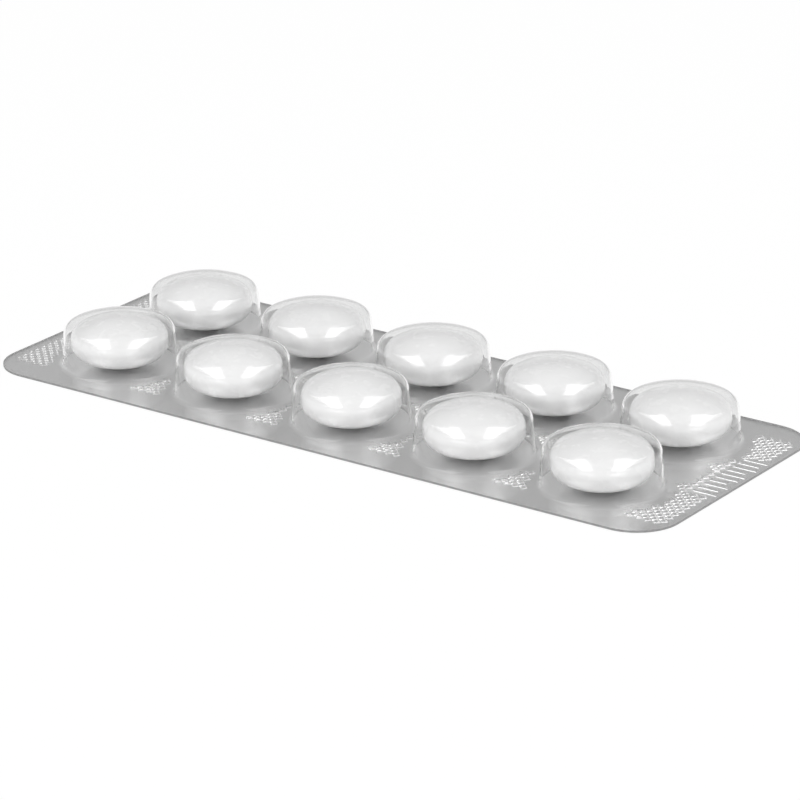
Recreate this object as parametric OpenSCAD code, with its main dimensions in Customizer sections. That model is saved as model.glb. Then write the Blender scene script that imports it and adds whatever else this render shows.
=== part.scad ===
// Blister strip of ten round tablets.
// A clear thermoformed film carries two rows of five domed cavities.
// One coated tablet lies loose in each cavity, and a flat aluminium foil
// is sealed over the film's whole underside, trimmed to the same outline.
// The strip lies foil down: z = 0 is the foil's underside, X runs along it.

/* [Strip] */
// Flat web between neighbouring cavities along the strip
web_long = 2.25; // [0.8:0.05:8]
// Flat web between the two rows of cavities
web_rows = 1.45; // [0.8:0.05:8]
// Flat land from the last cavities to each short end
end_land = 5.4; // [1:0.1:12]
// Flat land from the cavities to each long edge
side_land = 2.6; // [1:0.1:12]
// Radius of the die-cut corners
corner_r = 5.5; // [0.5:0.1:10]

/* [Tablet] */
// Diameter of a tablet
tablet_d = 12; // [8:0.1:13]
// Thickness of a tablet at its middle
tablet_t = 6.2; // [5:0.1:8]
// Radius that rounds the rim between the two domed faces
rim_r = 2.2; // [0.5:0.1:2.4]

/* [Cavity] */
// Gap between a tablet's rim and the cavity wall at its shoulder
side_gap = 0.35; // [0.1:0.05:0.9]
// Gap between a tablet's top and the cavity's crown
top_gap = 0.1; // [0.05:0.05:1]
// Draft of the wall, measured from the vertical
draft = 7; // [1:0.5:12]
// Inside radius where the wall turns into the crown
shoulder_r = 0.6; // [0.3:0.05:1.5]
// Inside radius of the gently domed crown
crown_r = 15; // [12:0.5:60]
// Radius where the wall sweeps out into the flange
root_r = 0.5; // [0.2:0.05:0.8]

/* [Sheets] */
// Thickness of the clear film
film_t = 0.25; // [0.15:0.01:0.4]
// Thickness of the lidding foil
foil_t = 0.03; // [0.02:0.005:0.1]

/* [Hidden] */
columns = 5;
rows = 2;
count = columns * rows;

// Each arc stands proud of what it runs into by the bite, which is far too
// little to see but lets the two cross cleanly.
bite = 0.0005;

// The tablet's faces are caps of one sphere each, tangent to the rim's arc.
rim_x = tablet_d / 2 - rim_r;
rim_z = foil_t + tablet_t / 2;
face_r = (rim_x * rim_x + tablet_t * tablet_t / 4 - rim_r * rim_r) / (tablet_t - 2 * rim_r);
face_offset = face_r - tablet_t / 2;
rim_join_x = rim_x * face_r / (face_r - rim_r);

// The cavity's section lies in the X-Z half plane of its own axis. Every arc
// is measured to the film's inner face, and the outer face is film_t further out.
// The crown sits as low as clears both the tablet's middle and its rim.
over_middle = foil_t + tablet_t + top_gap - crown_r;
over_rim = rim_z - sqrt(pow(crown_r - rim_r - top_gap, 2) - pow(rim_x, 2));
crown_centre = [0, max(over_middle, over_rim)];
shoulder_x = tablet_d / 2 + side_gap - shoulder_r * cos(draft);
shoulder_rise = sqrt(pow(crown_r - shoulder_r, 2) - pow(shoulder_x, 2));
shoulder_centre = crown_centre + [shoulder_x, shoulder_rise];
crown_angle = atan2(shoulder_rise, shoulder_x);

// The wall leans inwards by the draft, so this is its outward normal.
wall_normal = [cos(draft), sin(draft)];
root_z = foil_t + film_t + root_r;
root_x = (shoulder_centre * wall_normal + shoulder_r + film_t + root_r - 2 * bite
          - root_z * wall_normal.y) / wall_normal.x;
root_centre = [root_x, root_z];

pitch_long = 2 * root_x + web_long;
pitch_rows = 2 * root_x + web_rows;
strip_l = (columns - 1) * pitch_long + 2 * (root_x + end_land);
strip_w = (rows - 1) * pitch_rows + 2 * (root_x + side_land);

// How far each cavity's section reaches into the flange around it
lap = min(web_long, web_rows, end_land, side_land) / 4;

arc_fn = 96;
turn_fn = 96;

function cavity_place(i) = [
    (i % columns - (columns - 1) / 2) * pitch_long,
    (floor(i / columns) - (rows - 1) / 2) * pitch_rows
];

// The half section under one face of a cavity, from its axis outwards and
// down to a floor. grow is the face's distance outside the inner face.
module under_face(grow, floor_z) {
    wall_top = shoulder_centre + (shoulder_r + grow - bite) * wall_normal;
    wall_foot = root_centre - (root_r + film_t - grow - bite) * wall_normal;
    crown_end = (crown_r + grow) * cos(crown_angle);

    difference() {
        union() {
            // crown
            intersection() {
                translate(crown_centre)
                    circle(crown_r + grow - bite, $fn = 4 * arc_fn);
                translate([0, shoulder_centre.y])
                    square([crown_end, crown_r]);
            }
            // shoulder
            translate(shoulder_centre)
                circle(shoulder_r + grow, $fn = arc_fn);
            // wall
            polygon([[0, wall_foot.y], wall_foot, wall_top, [0, wall_top.y]]);
            // what the root is cut from
            translate([0, floor_z])
                square([root_x, wall_foot.y - floor_z]);
        }
        translate(root_centre)
            circle(root_r + film_t - grow, $fn = arc_fn);
    }
}

// The film's section from the flange, up the wall and over to the axis
module cavity_section() {
    difference() {
        union() {
            under_face(film_t, foil_t);
            translate([0, foil_t])
                square([root_x + lap, film_t]);
        }
        under_face(0, -film_t);
    }
}

// The strip's outline: a rectangle trimmed to a cross with a disc in each corner
module outline() {
    inner = [strip_l - 2 * corner_r, strip_w - 2 * corner_r];
    intersection() {
        square([strip_l, strip_w], center = true);
        union() {
            square([2 * strip_l, inner.y], center = true);
            square([inner.x, 2 * strip_w], center = true);
            for (sx = [-1, 1], sy = [-1, 1])
                translate([sx * inner.x / 2, sy * inner.y / 2])
                    circle(corner_r + bite, $fn = arc_fn);
        }
    }
}

module blister_film() {
    color("gainsboro", 0.35) {
        translate([0, 0, foil_t])
            linear_extrude(film_t)
                difference() {
                    outline();
                    for (i = [0 : count - 1])
                        translate(cavity_place(i))
                            circle(root_x, $fn = turn_fn);
                }
        for (i = [0 : count - 1])
            translate(cavity_place(i))
                rotate_extrude($fn = turn_fn)
                    cavity_section();
    }
}

module lidding_foil() {
    color("silver")
        linear_extrude(foil_t)
            outline();
}

// Half of a tablet's section, about the middle of its thickness
module tablet_section() {
    intersection() {
        translate([0, -face_offset])
            circle(face_r - bite, $fn = 4 * arc_fn);
        translate([0, face_offset])
            circle(face_r - bite, $fn = 4 * arc_fn);
        translate([0, -tablet_t])
            square([rim_join_x, 2 * tablet_t]);
    }
    translate([rim_x, 0])
        circle(rim_r, $fn = arc_fn);
}

module tablet(i) {
    color("white")
        translate([cavity_place(i).x, cavity_place(i).y, rim_z])
            rotate_extrude($fn = turn_fn)
                tablet_section();
}

blister_film();
lidding_foil();
for (i = [0 : count - 1])
    tablet(i);
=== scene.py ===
"""Looks of the tablet strip: clear film, knurled foil, coated tablets, studio and camera."""

import math

import bmesh
import bpy
import numpy as np
from mathutils import Matrix, Vector
from mathutils.geometry import delaunay_2d_cdt


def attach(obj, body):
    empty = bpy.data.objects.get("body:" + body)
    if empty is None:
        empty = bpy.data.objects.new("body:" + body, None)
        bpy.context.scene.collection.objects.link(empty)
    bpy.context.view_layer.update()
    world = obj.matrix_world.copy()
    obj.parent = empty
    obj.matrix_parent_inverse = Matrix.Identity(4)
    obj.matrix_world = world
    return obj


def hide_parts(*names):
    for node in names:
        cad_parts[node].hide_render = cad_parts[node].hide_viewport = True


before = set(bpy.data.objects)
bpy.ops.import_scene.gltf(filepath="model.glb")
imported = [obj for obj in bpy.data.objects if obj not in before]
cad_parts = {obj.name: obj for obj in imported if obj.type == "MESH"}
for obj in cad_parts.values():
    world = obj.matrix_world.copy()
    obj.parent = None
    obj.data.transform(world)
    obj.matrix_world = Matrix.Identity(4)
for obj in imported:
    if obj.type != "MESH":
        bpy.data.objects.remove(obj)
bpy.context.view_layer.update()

# Lengths are in millimetres up to the point where a mesh is made.
MM = 0.001

# The strip and its tablets, sized as in the CAD model
COLUMNS, ROWS = 5, 2
WEB_LONG, WEB_ROWS, END_LAND, SIDE_LAND, CORNER_R = 2.25, 1.45, 5.4, 2.6, 5.5
TABLET_D, TABLET_T, RIM_R = 12.0, 6.2, 2.2
FILM_T, FOIL_T = 0.25, 0.03

# The cavity's section. Its foot, crown and height are the CAD model's, but the
# shoulder is rounder and the wall steeper, so SIDE_GAP, DRAFT and SHOULDER_R differ.
SIDE_GAP, TOP_GAP, DRAFT = 0.55, 0.1, math.radians(4.5552)
SHOULDER_R, CROWN_R, ROOT_R = 1.1, 15.0, 0.5
CROWN_Z = max(
    FOIL_T + TABLET_T + TOP_GAP - CROWN_R,
    FOIL_T + TABLET_T / 2
    - math.sqrt((CROWN_R - RIM_R - TOP_GAP) ** 2 - (TABLET_D / 2 - RIM_R) ** 2),
)
SHOULDER_X = TABLET_D / 2 + SIDE_GAP - SHOULDER_R * math.cos(DRAFT)
SHOULDER_Z = CROWN_Z + math.sqrt((CROWN_R - SHOULDER_R) ** 2 - SHOULDER_X**2)
CROWN_ANGLE = math.atan2(SHOULDER_Z - CROWN_Z, SHOULDER_X)
ROOT_Z = FOIL_T + FILM_T + ROOT_R
ROOT_X = (
    SHOULDER_X * math.cos(DRAFT)
    + (SHOULDER_Z - ROOT_Z) * math.sin(DRAFT)
    + SHOULDER_R
    + FILM_T
    + ROOT_R
) / math.cos(DRAFT)

PITCH_LONG, PITCH_ROWS = 2 * ROOT_X + WEB_LONG, 2 * ROOT_X + WEB_ROWS
STRIP_L = (COLUMNS - 1) * PITCH_LONG + 2 * (ROOT_X + END_LAND)
STRIP_W = (ROWS - 1) * PITCH_ROWS + 2 * (ROOT_X + SIDE_LAND)
CENTRES = [
    ((i % COLUMNS - (COLUMNS - 1) / 2) * PITCH_LONG, (i // COLUMNS - (ROWS - 1) / 2) * PITCH_ROWS)
    for i in range(COLUMNS * ROWS)
]

# How finely the section's parts, the corners and each turn are cut
ARC_STEPS, CROWN_STEPS, WALL_STEPS, CORNER_STEPS = 10, 14, 4, 20
SEGMENTS = 96
TURN = [2 * math.pi * k / SEGMENTS for k in range(SEGMENTS)]

# The film's lower face stands this far off the foil, so that the two don't coincide.
GAP = 0.006

# The sealing knurl: square pyramids on a lattice that stands at 45 degrees, none
# of them within COLLAR of a cavity's axis. KNURL_TOP is the width of a pyramid's
# flat top as a share of its base.
KNURL_PITCH, KNURL_H, KNURL_TOP = 1.17, 0.13, 0.45
KNURL_X, KNURL_Y = 47.2, 15.0
COLLAR = ROOT_X + 0.45
FILM_RELIEF = 0.8  # share of the relief that shows on the film's upper face

# The smooth wedge between the last two cavities narrows towards the right end.
WEDGE_X0, WEDGE_X1 = 35, 42.4
WEDGE_AT, WEDGE_HALF_W, WEDGE_TAPER = 41, 3.0, 0.35

# The embossed field at the right end: plain parallel bars, some with the right
# end cut back a little, and the margin around them that has no knurl
FIELD_X0, FIELD_X1 = 44.4, 47.0
FIELD_Y0, FIELD_Y1 = -3.9, 7.2
MARGIN_LEFT, MARGIN_RIGHT, MARGIN_Y = 0.3, 0.2, 0.4
BAR_CUTS = (0.0, 0.5, 0.0, 0.9, 0.2, 0.0, 0.7, 0.0, 0.4, 0.0)
BAR_W, BAR_TOP_W, BAR_H = 0.62, 0.24, 0.1

# Points closer than this are merged in the plan, and a ring's sides lie this
# far inside its circle.
MERGE, SAG = 1e-5, 0.004


def arc(cx, cz, r, start, end, steps):
    return [
        (cx + r * math.cos(a), cz + r * math.sin(a))
        for a in (start + (end - start) * k / steps for k in range(steps + 1))
    ]


def cavity_face(grow):
    """One face of the cavity from the flange to the axis: (radius, height) points."""
    root = arc(ROOT_X, ROOT_Z, ROOT_R + FILM_T - grow, -math.pi / 2, DRAFT - math.pi, ARC_STEPS)
    shoulder = arc(SHOULDER_X, SHOULDER_Z, SHOULDER_R + grow, DRAFT, CROWN_ANGLE, ARC_STEPS)
    crown = arc(0, CROWN_Z, CROWN_R + grow, CROWN_ANGLE, math.pi / 2, CROWN_STEPS)
    foot, top = np.array(root[-1]), np.array(shoulder[0])
    wall = [tuple(foot + (top - foot) * k / WALL_STEPS) for k in range(1, WALL_STEPS)]
    return root + wall + shoulder + crown[1:]


def outline_loop():
    """The strip's die-cut outline, anticlockwise."""
    points = []
    for k, (sx, sy) in enumerate(((1, 1), (-1, 1), (-1, -1), (1, -1))):
        cx, cy = sx * (STRIP_L / 2 - CORNER_R), sy * (STRIP_W / 2 - CORNER_R)
        points += arc(cx, cy, CORNER_R, k * math.pi / 2, (k + 1) * math.pi / 2, CORNER_STEPS)
    return points


def root_ring(cx, cy):
    """The circle in which a cavity's root meets the flange."""
    return [(cx + ROOT_X * math.cos(a), cy + ROOT_X * math.sin(a)) for a in TURN]


def diamond(x, y, reach):
    return [(x - reach, y), (x, y - reach), (x + reach, y), (x, y + reach)]


def off_cavities(x, y, radius):
    return all(math.hypot(x - cx, y - cy) > radius for cx, cy in CENTRES)


def knurled(x, y):
    """Whether a point of the flange lies where the sealing tool bites."""
    if abs(x) > KNURL_X or abs(y) > KNURL_Y:
        return False
    wedge = WEDGE_HALF_W + WEDGE_TAPER * (WEDGE_AT - x)
    if WEDGE_X0 < x < WEDGE_X1 and abs(y) < wedge:
        return False
    if (
        FIELD_X0 - MARGIN_LEFT < x < FIELD_X1 + MARGIN_RIGHT
        and FIELD_Y0 - MARGIN_Y < y < FIELD_Y1 + MARGIN_Y
    ):
        return False
    return off_cavities(x, y, COLLAR)


def flange_layout():
    """The flange's plan, cut into triangles, with a height for each point."""
    points, heights, edges = [], [], []

    def loop(ring, height=0.0):
        first, count = len(points), len(ring)
        points.extend(ring)
        heights.extend([height] * count)
        edges.extend((first + k, first + (k + 1) % count) for k in range(count))

    loop(outline_loop())
    for cx, cy in CENTRES:
        loop(root_ring(cx, cy))

    half = KNURL_PITCH / 2
    reach_x, reach_y = int(STRIP_L / KNURL_PITCH) + 1, int(STRIP_W / KNURL_PITCH) + 1
    for i in range(-reach_x, reach_x + 1):
        for j in range(-reach_y, reach_y + 1):
            x, y = i * half, j * half
            base = diamond(x, y, half)
            if (i + j) % 2 == 0 and all(knurled(*corner) for corner in base):
                loop(base)
                loop(diamond(x, y, half * KNURL_TOP), KNURL_H)

    step = (FIELD_Y1 - FIELD_Y0) / (len(BAR_CUTS) - 1)
    for k, cut in enumerate(BAR_CUTS):
        y = FIELD_Y0 + k * step
        for width, height in ((BAR_W, 0.0), (BAR_TOP_W, BAR_H)):
            grow = width / 2
            left, right = FIELD_X0 - grow, FIELD_X1 - cut + grow
            loop([(left, y - grow), (right, y - grow), (right, y + grow), (left, y + grow)], height)

    verts, _, faces, origin, _, _ = delaunay_2d_cdt(
        [Vector(p) for p in points], edges, [], 0, MERGE
    )
    z = [max([heights[o] for o in group], default=0.0) for group in origin]
    return [tuple(v) for v in verts], z, [tuple(f) for f in faces]


plan, plan_h, triangles = flange_layout()
flange_faces = [
    f for f in triangles if off_cavities(*np.mean([plan[v] for v in f], axis=0), ROOT_X - SAG)
]
# A side that only one triangle has, and that isn't a cavity's, is the cut edge.
sides = dict.fromkeys((a, b) for f in flange_faces for a, b in zip(f, f[1:] + f[:1]))
rim_edges = [
    (a, b) for a, b in sides if (b, a) not in sides and off_cavities(*plan[a], ROOT_X + SAG)
]


def new_object(name, bm, materials):
    mesh = bpy.data.meshes.new(name)
    bm.to_mesh(mesh)
    bm.free()
    for m in materials:
        mesh.materials.append(m)
    obj = bpy.data.objects.new(name, mesh)
    bpy.context.scene.collection.objects.link(obj)
    return obj


def sheet(bm, z, relief=1.0):
    """The plan's points as vertices at a height, raised by a share of the relief."""
    return [
        bm.verts.new((x * MM, y * MM, (z + relief * h) * MM)) for (x, y), h in zip(plan, plan_h)
    ]


def close_sheets(bm, faces, upper, lower, rim_material=0):
    """Faces over and under the plan, joined along the cut edge."""
    for f in faces:
        bm.faces.new([upper[v] for v in f])
        bm.faces.new([lower[v] for v in reversed(f)])
    for a, b in rim_edges:
        side = bm.faces.new((upper[b], upper[a], lower[a], lower[b]))
        side.material_index = rim_material


def drop_loose(bm):
    loose = [v for v in bm.verts if not v.link_faces]
    bmesh.ops.delete(bm, geom=loose, context="VERTS")


def smooth_face(bm, corners, flip):
    bm.faces.new(corners[::-1] if flip else corners).smooth = True


def build_film(materials):
    """The film: both faces of every cavity, the knurled flange and its cut edge."""
    bm = bmesh.new()
    upper = sheet(bm, FOIL_T + FILM_T, FILM_RELIEF)
    lower = sheet(bm, FOIL_T + GAP)
    close_sheets(bm, flange_faces, upper, lower, rim_material=1)
    for cx, cy in CENTRES:
        ring = [
            min(range(len(plan)), key=lambda v: (plan[v][0] - px) ** 2 + (plan[v][1] - py) ** 2)
            for px, py in root_ring(cx, cy)
        ]
        for grow, flat, inner in ((FILM_T, upper, False), (0.0, lower, True)):
            last = [flat[v] for v in ring]
            section = cavity_face(grow)
            for r, z in section[1:-1]:
                if inner and z < ROOT_Z:
                    z += GAP
                row = [
                    bm.verts.new(
                        ((cx + r * math.cos(a)) * MM, (cy + r * math.sin(a)) * MM, z * MM)
                    )
                    for a in TURN
                ]
                for k in range(SEGMENTS):
                    after = (k + 1) % SEGMENTS
                    smooth_face(bm, (last[k], last[after], row[after], row[k]), inner)
                last = row
            pole = bm.verts.new((cx * MM, cy * MM, section[-1][1] * MM))
            for k in range(SEGMENTS):
                smooth_face(bm, (last[k], last[(k + 1) % SEGMENTS], pole), inner)
    drop_loose(bm)
    return new_object("film", bm, materials)


def build_foil(material):
    """The foil: one thin sheet under the whole strip, pressed up by the knurl."""
    bm = bmesh.new()
    close_sheets(bm, triangles, sheet(bm, FOIL_T), sheet(bm, 0.0))
    drop_loose(bm)
    return new_object("foil", bm, [material])


# Nodes


def material(name):
    mat = bpy.data.materials.new(name)
    mat.use_nodes = True
    nt = mat.node_tree
    nt.nodes.clear()
    return mat, nt, nt.nodes.new("ShaderNodeOutputMaterial").inputs["Surface"]


def feed(nt, value, socket):
    """Links a socket to another's value, or sets it to a number."""
    if isinstance(value, float):
        socket.default_value = value
    else:
        nt.links.new(value, socket)


def calc(nt, operation, *values):
    node = nt.nodes.new("ShaderNodeMath")
    node.operation = operation
    for value, socket in zip(values, node.inputs):
        feed(nt, value, socket)
    return node.outputs["Value"]


def ray_mask(nt, *kinds):
    """1 for rays of the kinds named, 0 for all others."""
    path = nt.nodes.new("ShaderNodeLightPath")
    mask = path.outputs[f"Is {kinds[0]} Ray"]
    for kind in kinds[1:]:
        mask = calc(nt, "MAXIMUM", mask, path.outputs[f"Is {kind} Ray"])
    return mask


def blend(nt, fac, first, second):
    node = nt.nodes.new("ShaderNodeMixShader")
    nt.links.new(fac, node.inputs["Fac"])
    nt.links.new(first, node.inputs[1])
    nt.links.new(second, node.inputs[2])
    return node.outputs["Shader"]


def noise(nt, scale, detail):
    """Noise in object space, in cells per metre."""
    coords = nt.nodes.new("ShaderNodeTexCoord")
    tex = nt.nodes.new("ShaderNodeTexNoise")
    tex.inputs["Scale"].default_value = scale
    tex.inputs["Detail"].default_value = detail
    nt.links.new(coords.outputs["Object"], tex.inputs["Vector"])
    return tex.outputs["Fac"]


# A noise's values mostly lie between these two.
NOISE_LOW, NOISE_HIGH = 0.3, 0.7


def map_range(nt, value, start, end, low, high, kind="LINEAR"):
    """Maps a value from between start and end to between low and high."""
    node = nt.nodes.new("ShaderNodeMapRange")
    node.interpolation_type = kind
    node.inputs["From Min"].default_value = start
    node.inputs["From Max"].default_value = end
    node.inputs["To Min"].default_value = low
    node.inputs["To Max"].default_value = high
    nt.links.new(value, node.inputs["Value"])
    return node.outputs["Result"]


def spread(nt, fac, low, high):
    """Maps a noise to values from low to high."""
    return map_range(nt, fac, NOISE_LOW, NOISE_HIGH, low, high)


def tint(nt, fac, dark, light):
    """Maps a noise to greys from dark to light."""
    ramp = nt.nodes.new("ShaderNodeValToRGB")
    for stop, at, grey in zip(
        ramp.color_ramp.elements, (NOISE_LOW, NOISE_HIGH), (dark, light)
    ):
        stop.position = at
        stop.color = (grey, grey, grey, 1)
    nt.links.new(fac, ramp.inputs["Fac"])
    return ramp.outputs["Color"]


def bump(nt, fac, depth):
    node = nt.nodes.new("ShaderNodeBump")
    node.inputs["Strength"].default_value = 1.0
    node.inputs["Distance"].default_value = depth * MM
    nt.links.new(fac, node.inputs["Height"])
    return node.outputs["Normal"]


# Materials


def tablet_material():
    """A glossy white polymer coat with a faint orange peel and mottle."""
    mat, nt, surface = material("tablet_coat")
    p = nt.nodes.new("ShaderNodeBsdfPrincipled")
    nt.links.new(tint(nt, noise(nt, 260, 4), 0.865, 0.9), p.inputs["Base Color"])
    nt.links.new(spread(nt, noise(nt, 700, 3), 0.22, 0.3), p.inputs["Roughness"])
    nt.links.new(bump(nt, noise(nt, 900, 2), 0.003), p.inputs["Normal"])
    p.inputs["Coat Weight"].default_value = 1.0
    p.inputs["Coat Roughness"].default_value = 0.035
    p.inputs["Coat IOR"].default_value = 1.8
    nt.links.new(p.outputs["BSDF"], surface)
    return mat


def foil_material():
    """Dull lacquered aluminium with a faint mottle."""
    mat, nt, surface = material("foil")
    p = nt.nodes.new("ShaderNodeBsdfPrincipled")
    grain = noise(nt, 900, 4)
    nt.links.new(tint(nt, noise(nt, 120, 5), 0.84, 0.88), p.inputs["Base Color"])
    nt.links.new(spread(nt, grain, 0.3, 0.36), p.inputs["Roughness"])
    nt.links.new(bump(nt, grain, 0.001), p.inputs["Normal"])
    p.inputs["Metallic"].default_value = 1.0
    nt.links.new(p.outputs["BSDF"], surface)
    return mat


def film_material():
    """Clear film: real glass to the eye, a thin clear sheet to lamps and bounces."""
    mat, nt, surface = material("clear_film")
    glass = nt.nodes.new("ShaderNodeBsdfPrincipled")
    glass.inputs["Base Color"].default_value = (0.95, 0.95, 0.95, 1)
    glass.inputs["Transmission Weight"].default_value = 1.0
    glass.inputs["IOR"].default_value = 1.38
    nt.links.new(spread(nt, noise(nt, 400, 3), 0.0, 0.03), glass.inputs["Roughness"])
    nt.links.new(bump(nt, noise(nt, 160, 2), 0.012), glass.inputs["Normal"])

    clear = nt.nodes.new("ShaderNodeBsdfTransparent")
    clear.inputs["Color"].default_value = (0.97, 0.97, 0.97, 1)
    gloss = nt.nodes.new("ShaderNodeBsdfGlossy")
    gloss.inputs["Color"].default_value = (1, 1, 1, 1)
    gloss.inputs["Roughness"].default_value = 0.03
    # The sheet's gloss rises from 2.5% face on to all of the light at a grazing
    # angle, and is the same from both sides, which a Fresnel node's isn't.
    facing = nt.nodes.new("ShaderNodeLayerWeight").outputs["Facing"]
    share = calc(nt, "MULTIPLY_ADD", calc(nt, "POWER", facing, 5.0), 0.975, 0.025)
    thin = blend(nt, share, clear.outputs["BSDF"], gloss.outputs["BSDF"])

    eye = ray_mask(nt, "Camera", "Transmission")
    nt.links.new(blend(nt, eye, thin, glass.outputs["BSDF"]), surface)
    return mat


def edge_material():
    """The film's sheared edge: frosted, in a dark grey that is painted shade along the cut edge."""
    mat, nt, surface = material("film_edge")
    p = nt.nodes.new("ShaderNodeBsdfPrincipled")
    # The dark grey base is painted shade, not the clear film's own colour; the noise only varies it
    # at random.
    nt.links.new(tint(nt, noise(nt, 2500, 4), 0.22, 0.3), p.inputs["Base Color"])
    nt.links.new(spread(nt, noise(nt, 1500, 3), 0.4, 0.6), p.inputs["Roughness"])
    nt.links.new(p.outputs["BSDF"], surface)
    return mat


film_mat = film_material()
foil_mat = foil_material()
tablet_mat = tablet_material()

film = build_film([film_mat, edge_material()])
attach(film, "root")
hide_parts("blister_film")

foil = build_foil(foil_mat)
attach(foil, "root")
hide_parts("lidding_foil")

for i in range(1, COLUMNS * ROWS + 1):
    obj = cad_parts[f"tablet_{i}"]
    obj.data.materials.clear()
    obj.data.materials.append(tablet_mat)
    for poly in obj.data.polygons:
        poly.use_smooth = True


# Floor and backdrop, in metres

FLOOR_HALF, FLOOR_Z = 3.0, -0.00002


def floor_material():
    """White paper that shows as white, with the object's faint shadow kept."""
    mat, nt, surface = material("floor")
    paper = nt.nodes.new("ShaderNodeBsdfDiffuse")
    nt.links.new(tint(nt, noise(nt, 30, 4), 0.86, 0.88), paper.inputs["Color"])
    glow = nt.nodes.new("ShaderNodeEmission")
    glow.inputs["Strength"].default_value = 1.0
    share = calc(nt, "MULTIPLY", ray_mask(nt, "Camera", "Glossy", "Transmission"), 0.93)
    nt.links.new(blend(nt, share, paper.outputs["BSDF"], glow.outputs["Emission"]), surface)
    return mat


bm = bmesh.new()
bm.faces.new(
    [
        bm.verts.new((sx * FLOOR_HALF, sy * FLOOR_HALF, FLOOR_Z))
        for sx, sy in ((-1, -1), (1, -1), (1, 1), (-1, 1))
    ]
)
floor = new_object("floor", bm, [floor_material()])

# Heights of the direction looked in, as its Z part, between which the world fades
FADE_START, FADE_END = 0.12, 0.45


def sky(nt, low, high):
    """White light, of strength low near the horizon and high overhead."""
    node = nt.nodes.new("ShaderNodeBackground")
    node.inputs["Color"].default_value = (1, 1, 1, 1)
    if low == high:
        node.inputs["Strength"].default_value = low
    else:
        coords = nt.nodes.new("ShaderNodeTexCoord")
        split = nt.nodes.new("ShaderNodeSeparateXYZ")
        nt.links.new(coords.outputs["Generated"], split.inputs["Vector"])
        fade = map_range(nt, split.outputs["Z"], FADE_START, FADE_END, low, high, "SMOOTHSTEP")
        nt.links.new(fade, node.inputs["Strength"])
    return node.outputs["Background"]


world = bpy.data.worlds.new("studio")
bpy.context.scene.world = world
world.use_nodes = True
nt = world.node_tree
nt.nodes.clear()
lit = blend(nt, ray_mask(nt, "Glossy"), sky(nt, 0.54, 0.5), sky(nt, 1.0, 0.45))
shown = blend(nt, ray_mask(nt, "Camera", "Transmission"), lit, sky(nt, 1.0, 1.0))
nt.links.new(shown, nt.nodes.new("ShaderNodeOutputWorld").inputs["Surface"])


# The camera's fitted angles, place in metres and focal length in pixels
YAW, PITCH, ROLL = (math.radians(a) for a in (35.8031, 20.9903, 0.59622))
CAMERA_AT = (0.262737, -0.362831, 0.172073)
FOCAL_PX, IMAGE_PX, SENSOR_MM = 4051.714, 800, 36.0


def placed(at, x_axis, y_axis, z_axis):
    axes = Matrix((x_axis, y_axis, z_axis)).transposed()
    return Matrix.Translation(at) @ axes.to_4x4()


# Lamps, placed by parts towards the camera, across its view and upwards. Sizes
# are shares of the lamps' distance, which is in metres.

LAMP_DISTANCE = 0.9
TOWARDS = Vector((math.sin(YAW), -math.cos(YAW), 0))
ACROSS = Vector((math.cos(YAW), math.sin(YAW), 0))
UP = Vector((0, 0, 1))


def studio(towards, across, up, side):
    return towards * TOWARDS + side * across * ACROSS + up * UP


def area_lamp(name, centre, back, long_axis, size, radiance):
    """A rectangular lamp that faces along -back."""
    light = bpy.data.lights.new(name, "AREA")
    light.shape = "RECTANGLE"
    light.size, light.size_y = size[0] * LAMP_DISTANCE, size[1] * LAMP_DISTANCE
    light.energy = radiance * math.pi * light.size * light.size_y
    obj = bpy.data.objects.new(name, light)
    bpy.context.scene.collection.objects.link(obj)
    obj.matrix_world = placed(centre * LAMP_DISTANCE, long_axis, back.cross(long_axis), back)


# Long softboxes above the line of sight give the tablets their paired highlights.
for name, side in (("softbox_left", -1), ("softbox_right", 1)):
    area_lamp(
        name,
        studio(0.3459, 0.5603, 0.7526, side),
        studio(0.3998, 0.2678, 0.8766, side).normalized(),
        studio(0.9073, 0.0207, -0.4201, side).normalized(),
        size=(1.179, 0.5245),
        radiance=2.8,
    )
# Low reflectors under them lift the tablets' lower halves.
for name, side in (("reflector_left", -1), ("reflector_right", 1)):
    back = studio(0.84, 0.54, 0.0, side).normalized()
    area_lamp(name, back + 0.14 * UP, back, UP.cross(back), size=(0.6, 0.26), radiance=1.0)


# Camera

forward = Vector(
    (-math.sin(YAW) * math.cos(PITCH), math.cos(YAW) * math.cos(PITCH), -math.sin(PITCH))
)
level = forward.cross(UP).normalized()
down = forward.cross(level)
right = level * math.cos(ROLL) + down * math.sin(ROLL)
below = -level * math.sin(ROLL) + down * math.cos(ROLL)
data = bpy.data.cameras.new("camera")
data.sensor_width = SENSOR_MM
data.lens = SENSOR_MM * FOCAL_PX / IMAGE_PX
data.clip_start = 0.01
camera = bpy.data.objects.new("camera", data)
camera.matrix_world = placed(CAMERA_AT, right, -below, -forward)
bpy.context.scene.collection.objects.link(camera)
bpy.context.scene.camera = camera

scene = bpy.context.scene
scene.view_settings.view_transform = "Standard"
scene.cycles.max_bounces = 24
scene.cycles.transmission_bounces = 24
scene.cycles.transparent_max_bounces = 32
